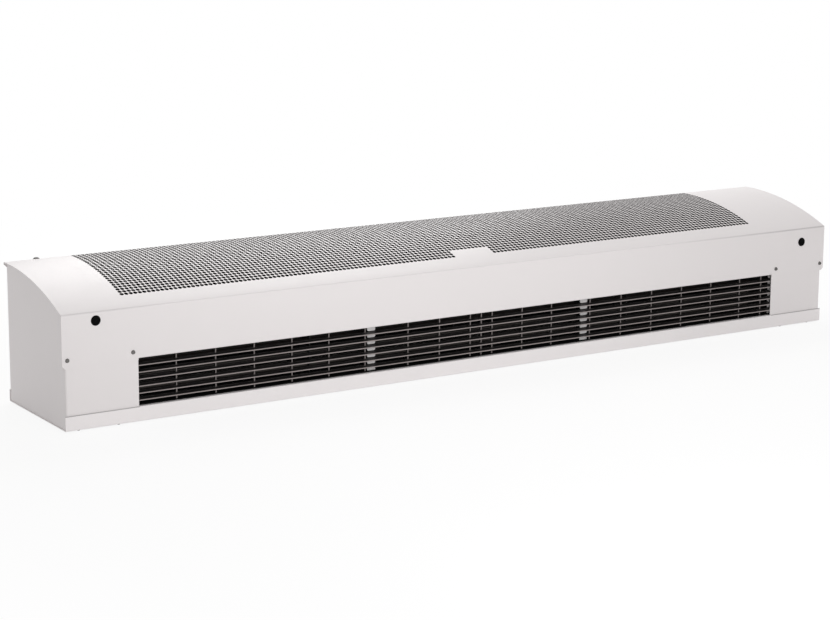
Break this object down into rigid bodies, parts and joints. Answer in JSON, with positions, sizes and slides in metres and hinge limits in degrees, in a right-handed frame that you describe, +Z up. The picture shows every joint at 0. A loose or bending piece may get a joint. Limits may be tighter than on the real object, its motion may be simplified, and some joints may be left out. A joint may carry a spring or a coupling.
{
  "type": "air curtain",
  "caption": "Long wall-mounted air curtain with a perforated curved top, a louvred outlet slot along its lower front and a cross-flow fan inside.",
  "frame": {"origin": "middle of the box round the whole object, on the plane that its lowest screw heads stand on", "axes": "+X along the casing to the motor end, -Y out of the front with the air outlet, +Z up"},
  "size_m": [1.61, 0.2484, 0.2408],
  "materials": {
    "casing_paint": "semi-gloss warm white powder coat",
    "galvanised_sheet": "dull zinc",
    "duct_sheet": "matt black",
    "grille_blades": "satin brown grey",
    "wheel_aluminium": "dull",
    "bright_steel": "ground",
    "motor_paint": "satin dark grey",
    "cast_aluminium": "cast, dull",
    "black_rubber": "matt",
    "screw_zinc": "zinc plated",
    "bearing_bronze": "sintered, oiled",
    "heater_steel": "oxidised",
    "ceramic_white": "matt",
    "black_plastic": "matt",
    "terminal_plastic": "matt ivory",
    "plug_plastic": "matt black"
  },
  "bodies": {
    "casing": {"front_cover": "casing_paint", "left_side_panel": "casing_paint", "right_side_panel": "casing_paint", "base_panel": "casing_paint", "back_panel": "galvanised_sheet", "left_partition": "galvanised_sheet", "right_partition": "galvanised_sheet", "scroll_panel": "duct_sheet", "tongue_panel": "duct_sheet", "left_outlet_grille": "grille_blades", "centre_outlet_grille": "grille_blades", "right_outlet_grille": "grille_blades", "left_grille_comb": "galvanised_sheet", "right_grille_comb": "galvanised_sheet", "left_end_comb": "galvanised_sheet", "right_end_comb": "galvanised_sheet", "motor_body": "motor_paint", "motor_front_cap": "cast_aluminium", "motor_rear_cap": "cast_aluminium", "motor_plate": "galvanised_sheet", "motor_rubber_mounts": "black_rubber", "motor_screws": "screw_zinc", "centre_bearing": "bearing_bronze", "centre_bearing_ring": "black_rubber", "centre_bearing_bracket": "galvanised_sheet", "end_bearing": "bearing_bronze", "end_bearing_ring": "black_rubber", "end_bearing_housing": "cast_aluminium", "bearing_housing_screws": "screw_zinc", "upper_heater": "heater_steel", "middle_heater": "heater_steel", "lower_heater": "heater_steel", "left_heater_support": "galvanised_sheet", "right_heater_support": "galvanised_sheet", "heater_bushes": "ceramic_white", "thermal_cutout": "black_plastic", "terminal_plate": "galvanised_sheet", "terminal_block": "terminal_plastic", "contactor": "black_plastic", "run_capacitor": "terminal_plastic", "capacitor_clip": "galvanised_sheet", "cable_grommet": "black_rubber", "earth_bolt": "screw_zinc", "left_hole_plug": "plug_plastic", "right_hole_plug": "plug_plastic", "left_wall_bracket": "galvanised_sheet", "right_wall_bracket": "galvanised_sheet", "cover_screws": "screw_zinc", "base_screws": "screw_zinc", "wall_bracket_screws": "screw_zinc"},
    "fan": {"left_fan_wheel": "wheel_aluminium", "right_fan_wheel": "wheel_aluminium", "centre_shaft": "bright_steel", "left_end_shaft": "bright_steel", "motor_shaft": "bright_steel", "motor_rotor": "bright_steel"}
  },
  "joints": [
    {"name": "fan_spin", "type": "hinge", "parent": "casing", "child": "fan", "pos_m": [0, 0.0062, 0.1284], "axis": [1, 0, 0], "continuous": true}
  ]
}
